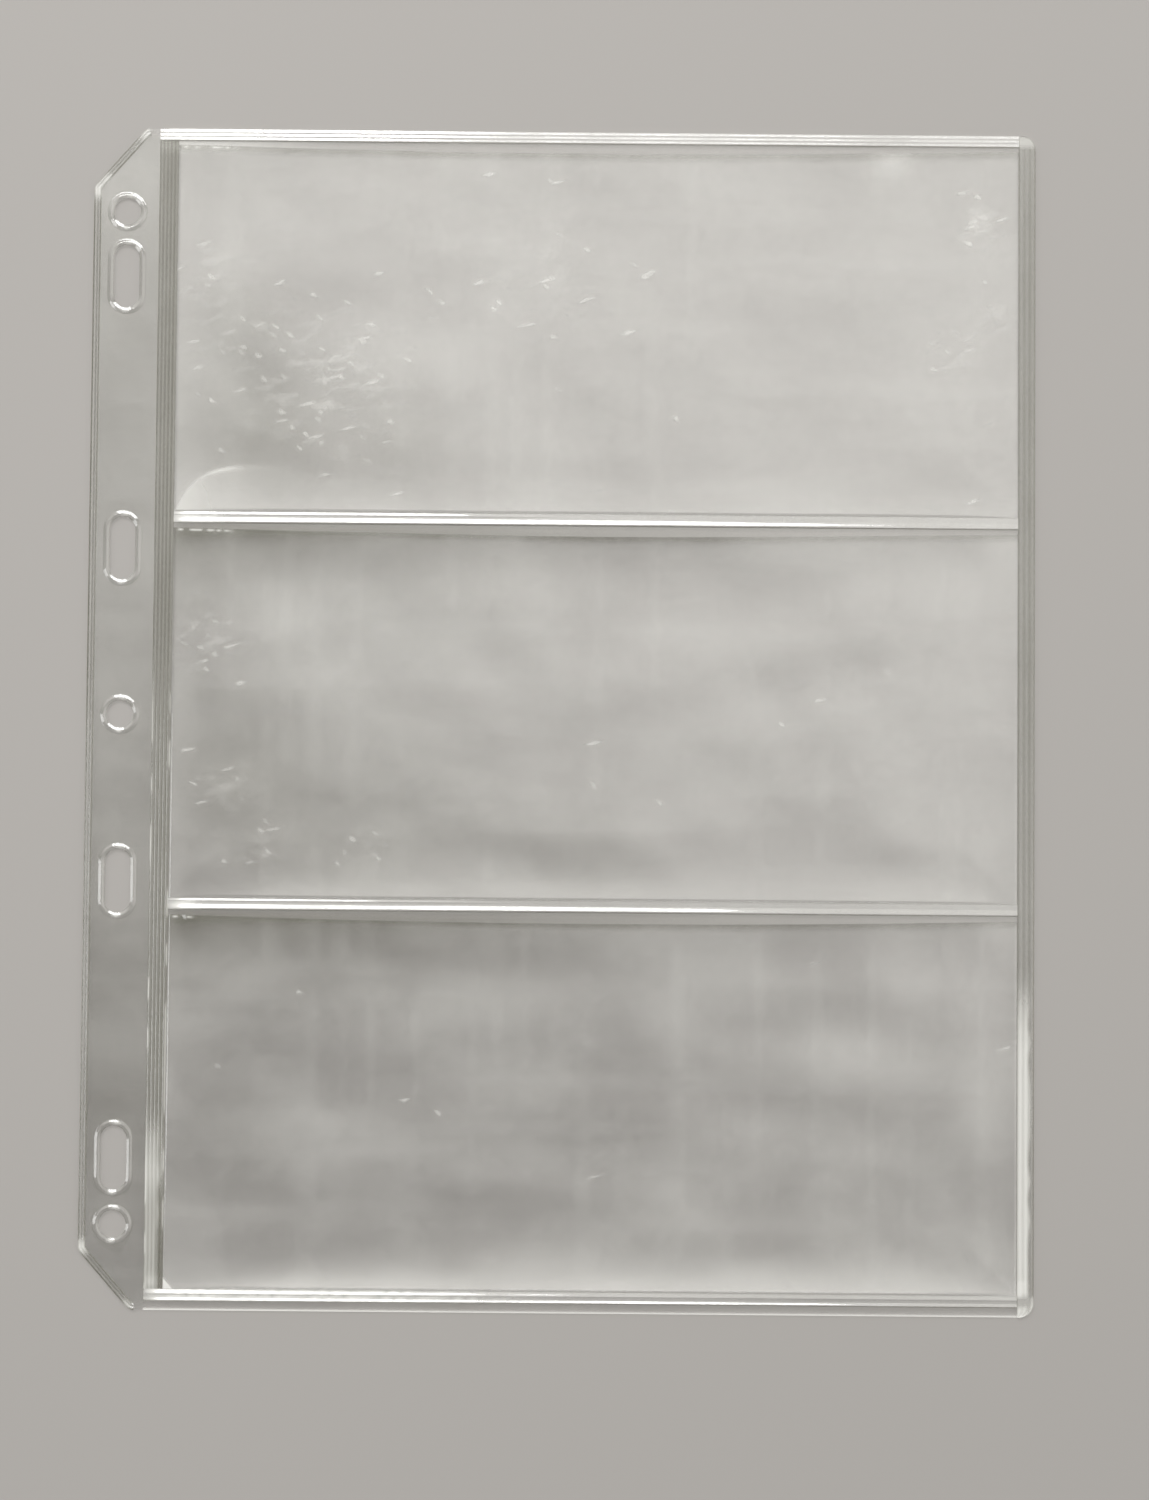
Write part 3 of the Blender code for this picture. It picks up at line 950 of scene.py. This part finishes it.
edge_path = walk(margin_corners(EDGE_WELD / 2), [CHAMFER_ROUNDING - EDGE_WELD / 2] * 4, ROW_STEP)
edge_turn = np.gradient(edge_path, axis=0)
edge_turn /= np.linalg.norm(edge_turn, axis=1, keepdims=True)
edge_side = np.column_stack((-edge_turn[:, 1], edge_turn[:, 0]))
across = np.linspace(0, 1, POINTS_ACROSS_EDGE)
plan = edge_path[:, None] + edge_side[:, None] * ((across - 0.5) * EDGE_WELD)[None, :, None]
profile = WELD_BASE - EDGE_WELD_DROP + EDGE_RIB_HEIGHT * even_ribs(across, EDGE_RIBS)
z = np.broadcast_to(profile, plan.shape[:2])
groove = EDGE_GROOVE * bell(across - 0.5, EDGE_GROOVE_REACH)
edge_weld = film_piece(
    "margin_edge_bead",
    np.concatenate((plan, z[..., None]), -1).reshape(-1, 3),
    grid_quads(*z.shape)[:, ::-1],
    WELD_THICKNESS,
    side_vinyl,
    milk=spots(plan[..., 0], plan[..., 1], EDGE_HIGHLIGHT_SPOTS),
    line=np.broadcast_to(edge_lines(across, EDGE_WELD / EDGE_LINES_WIDER) + groove, z.shape),
)
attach(edge_weld, "binding_margin")
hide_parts("margin_edge_weld")


# The pockets' front films: three sheets of the same vinyl, each welded down at its foot and both sides
# and open at its head, where it stands a little off the back film. They are slack, so they ripple, and
# they swell up just beside the welds before they dive into them. Handling has scuffed them in places.

POCKET_COLUMNS, POCKET_ROWS = 150, 180
CROWDING = 0.88
TUCK = 0.2 * MM
MOUTH_SAG = 1.3 * MM
MOUTH_LIFTS = {"top": 0.25 * MM, "middle": 0.9 * MM, "bottom": 0.9 * MM}
MOUTH_LIFT_FROM, MOUTH_LIFT_RUN_IN, MOUTH_LIFT_LESS = 12 * MM, 9 * MM, 0.45
FRONT_REST, SLACK_LIFT, LOWEST_FRONT = 0.62 * MM, 0.25 * MM, 0.36 * MM
FOOT_SWELLS = {"top": 0.6 * MM, "middle": 0.9 * MM, "bottom": 1.5 * MM}
FOOT_SWELL_RUN_IN = 26 * MM
SIDE_SWELL = 0.30 * MM
SWELL_REACH, SWELL_DIVE = 5.0 * MM, 0.15 * MM
FOLD_HEIGHT, FOLD_RISE, FOLD_REACH = 0.07 * MM, 10.5 * MM, 25 * MM
FOLD_STEEPNESS, FOLD_FADES, FOLD_ENDS = 6, 0.3, 1.2
FOLD_SLOPE, FOLD_CREST_WIDTH = 1.5 * MM, 0.35 * MM
CREST_PLACE, CREST_LENGTH = 0.4, 0.16
# The fold's haze, more of it at the corner, and the painted highlight along its crest.
FOLD_HAZE, FOLD_HAZE_REACH, FOLD_CREST_HIGHLIGHT = 0.12, 4 * MM, 0.40
# Painted sheen: each pocket is whiter just above its foot weld, where its film swells up, fading out over a
# reach.
FOOT_SHEENS = {"top": 0.09, "middle": 0.06, "bottom": 0.18}
FOOT_SHEEN_REACH = 4.5 * MM
MOUTH_SHADES = {"top": 0.05, "middle": 0.45, "bottom": 0.42}
MOUTH_SHADE_REACH = 12 * MM
MOUTH_LINE_AND_SHADOW, MOUTH_LINE_REACH, MOUTH_LINE_LESS = 0.46, 1.1 * MM, 0.3
MOUTH_GLINT, MOUTH_GLINT_DEPTH, MOUTH_GLINT_WIDTH = 0.75, 0.4 * MM, 0.22 * MM
MOUTH_GLINTS = {"top": (4, 11), "middle": (4, 11), "bottom": (2.5, 4.0)}
FIRST_GLINT, FIRST_GLINT_LENGTH = 1.5 * MM, 0.5 * MM
MOUTH_BREAKS, MOUTH_BENDS = 0.5 * MM, 1.7 * MM
CORNER_GLINTS = {"top": 0.0, "middle": 0.0, "bottom": 0.85}
CORNER_GLINT_RISE, CORNER_GLINT_FALL, CORNER_GLINT_SOFT = 2.6 * MM, 1.2, 0.6 * MM
RIPPLE_RUN_IN, RIPPLE_SEED = 14 * MM, 40
RIPPLE_SETS = (
    (0.10 * MM, 6, (35 * MM, 95 * MM), (0, math.pi)),
    (0.020 * MM, 10, (12 * MM, 26 * MM), (0, math.pi)),
    (0.028 * MM, 5, (16 * MM, 34 * MM), (1.25, 1.9)),
)
STRAY_SCUFFS = 0.004
SCUFFED_PLACES = (
    (-51, 71, 15, 0.48),
    (-72, 87, 10, 0.25),
    (-78, 95, 7, 0.20),
    (-4, 95, 14, 0.20),
    (83, 78, 5, 0.35),
    (92, 86, 4, 0.35),
    (89, 106, 4, 0.60),
    (-75, 16, 9, 0.30),
    (-72, -15, 6, 0.30),
    (-64, -30, 5, 0.35),
    (-41, -28, 4, 0.35),
)
# Milky frosted patches, some of them painted highlights, such as the one beside the top pocket's corner
# fold: each with its centre and reach in millimetres and its strength.
FROSTED_AND_HIGHLIGHT_PLACES = (
    (89, 107, 3.0, 0.12),
    (70, 120, 4, 0.16),
    (-51, 76, 11, 0.03),
    (-80, 49, 5, 0.09),
    (9, 97, 22, 0.02),
    (-58, 21, 15, 0.05),
    (-28, 22, 20, 0.05),
    (-72, 108, 14, 0.04),
)
# Painted shade: soft darker patches on the pockets, where the film would mirror the dim side of the room;
# each with its centre and reach in millimetres and its strength.
DIM_PLACES = (
    (-66, 61, 17, 0.20),
    (-36, 58, 12, 0.10),
    (-70, 85, 10, 0.10),
    (-70, -12, 18, 0.20),
    (-40, -24, 24, 0.12),
    (2, -27, 16, 0.06),
    (-66, -90, 12, 0.06),
)

pocket_vinyl = vinyl(
    "pocket vinyl", veil=0.0, clouding=0.075, mirror=0.072, gloss=0.045, shift=(0, 0, 0), scuffing=0.30
)


def crowded(count):
    """Numbers from 0 to 1 that lie closer together towards both ends: t less a share of its sine."""
    t = np.linspace(0, 1, count)
    return t - CROWDING * np.sin(2 * math.pi * t) / (2 * math.pi)


def ripples(x, y, draw, count, lengths, turns):
    """A sum of straight waves over a plane, whose directions, phases and lengths are drawn at random:
    the sine of the way along each wave's direction over its length."""
    turn, phase = draw.uniform(*turns, count), draw.uniform(0, 2 * math.pi, count)
    wave = 2 * math.pi / draw.uniform(*lengths, count)
    along = x[..., None] * np.cos(turn) + y[..., None] * np.sin(turn)
    return np.sin(along * wave + phase).sum(axis=-1)


def weld_swell(away):
    """How far film swells up beside a weld, at a distance away from it: an exponential that falls off
    slowly outwards, times one less a steep one, so that it dives to nothing at the weld itself."""
    return np.exp(-away / SWELL_REACH) * (1 - np.exp(-away / SWELL_DIVE))


def corner_fold(from_left, from_foot):
    """A slack corner's fold, from 0 to 1: raised below a line that leaves the corner steeply and levels
    out at the fold's rise, as one less an exponential, and fades out along its reach. Gives that and a
    painted highlight along the fold's crest, a bell curve about the line that is strongest at its place
    on the reach."""
    line = FOLD_RISE * (1 - np.exp(-FOLD_STEEPNESS * from_left / FOLD_REACH))
    raised = ease(line - from_foot, 0, FOLD_SLOPE)
    raised *= ease(from_left, FOLD_ENDS * FOLD_REACH, FOLD_FADES * FOLD_REACH)
    crest = bell(line - from_foot - FOLD_SLOPE / 2, FOLD_CREST_WIDTH)
    return raised, crest * bell(from_left - CREST_PLACE * FOLD_REACH, CREST_LENGTH * FOLD_REACH)


def pocket_glints(pocket, seed, from_left, from_mouth, from_foot):
    """White glints at a pocket's left: a broken line just inside its mouth, from one place to another,
    with a short one beside the weld, and a three-cornered one at its foot."""
    starts, ends = np.array(MOUTH_GLINTS[pocket]) * MM
    glints = ease(from_left, starts - MM, starts) * ease(from_left, ends + 2 * MM, ends)
    breaks = uneven_wave(from_left, MOUTH_BREAKS, MOUTH_BENDS, bent=2.4, turn=seed)
    glints = glints * ease(breaks, -1.0, 0.2) + bell(from_left - FIRST_GLINT, FIRST_GLINT_LENGTH)
    glints *= MOUTH_GLINT * bell(from_mouth - MOUTH_GLINT_DEPTH, MOUTH_GLINT_WIDTH)
    in_corner = CORNER_GLINT_RISE - from_foot - CORNER_GLINT_FALL * from_left
    return glints + CORNER_GLINTS[pocket] * ease(in_corner, 0, CORNER_GLINT_SOFT)


for number, pocket in enumerate(POCKETS):
    low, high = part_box(f"{pocket}_pocket_film")
    v, u = np.meshgrid(crowded(POCKET_ROWS), crowded(POCKET_COLUMNS), indexing="ij")
    width = high.x - low.x + 2 * TUCK
    x = low.x - TUCK + u * width
    mouth = high.y - MOUTH_SAG * 4 * u * (1 - u)
    y = low.y - TUCK + v * (mouth - low.y + TUCK)
    from_foot, from_mouth, from_left = y - y[:1], mouth - y, u * width
    from_side = np.minimum(from_left, width - from_left)
    draw = np.random.default_rng(RIPPLE_SEED + number)
    rippled = sum(
        height * ripples(x, y, draw, count, lengths, turns)
        for height, count, lengths, turns in RIPPLE_SETS
    )
    z = FRONT_REST + (SLACK_LIFT + rippled) * ease(np.minimum(from_side, from_foot), 0, RIPPLE_RUN_IN)
    z += FOOT_SWELLS[pocket] * weld_swell(from_foot) * ease(from_side, 0, FOOT_SWELL_RUN_IN)
    z += SIDE_SWELL * weld_swell(from_side)
    fold_milk = 0.0
    if pocket == "top":
        raised, crest = corner_fold(from_left, from_foot)
        z += FOLD_HEIGHT * raised * ease(from_foot, 0, SWELL_DIVE)
        fold_milk = FOLD_HAZE * raised * (1 + bell(from_left, FOLD_HAZE_REACH)) + FOLD_CREST_HIGHLIGHT * crest
    lifted = np.clip(1 - from_mouth / MOUTH_LIFT_FROM, 0, 1) ** 2 * (1 - MOUTH_LIFT_LESS * u)
    z += MOUTH_LIFTS[pocket] * lifted * ease(from_side, 0, MOUTH_LIFT_RUN_IN)
    glints = pocket_glints(pocket, number, from_left, from_mouth, from_foot)
    foot_sheen = FOOT_SHEENS[pocket] * np.exp(-from_foot / FOOT_SHEEN_REACH)
    # The dark line of each mouth's cut edge, widened into a painted shadow just inside it; under it lies
    # painted shade that is strongest at the left.
    mouth_line_and_shadow = MOUTH_LINE_AND_SHADOW * bell(from_mouth, MOUTH_LINE_REACH) * slow_swell(u * 4, number)
    mouth_line_and_shadow = mouth_line_and_shadow * (1 - MOUTH_LINE_LESS * u)
    mouth_shade = MOUTH_SHADES[pocket] * np.exp(-from_mouth / MOUTH_SHADE_REACH) * (1 - u) ** 3
    front = film_piece(
        f"{pocket}_pocket_front_sheet",
        np.stack((x, y, np.maximum(z, LOWEST_FRONT)), -1).reshape(-1, 3),
        grid_quads(*x.shape),
        film,
        pocket_vinyl,
        milk=spots(x, y, FROSTED_AND_HIGHLIGHT_PLACES) + glints + foot_sheen + fold_milk,
        line=np.maximum(mouth_line_and_shadow, mouth_shade) + spots(x, y, DIM_PLACES),
        scuffs=STRAY_SCUFFS + spots(x, y, SCUFFED_PLACES),
    )
    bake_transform(front, "pocket_panel", f"{pocket}_pocket_front", start=(0, low.y, 0), end=(0, high.y, 0))
    # The film stays welded down at its sides, so it follows the pocket's front most in its middle.
    arch = ease(v, 0, 1) * (1 - (2 * u - 1) ** 2)
    follows = front.data.attributes["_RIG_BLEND"].data
    follows.foreach_set("value", np.tile(arch.ravel(), 2).astype(np.float32))
    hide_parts(f"{pocket}_pocket_film")
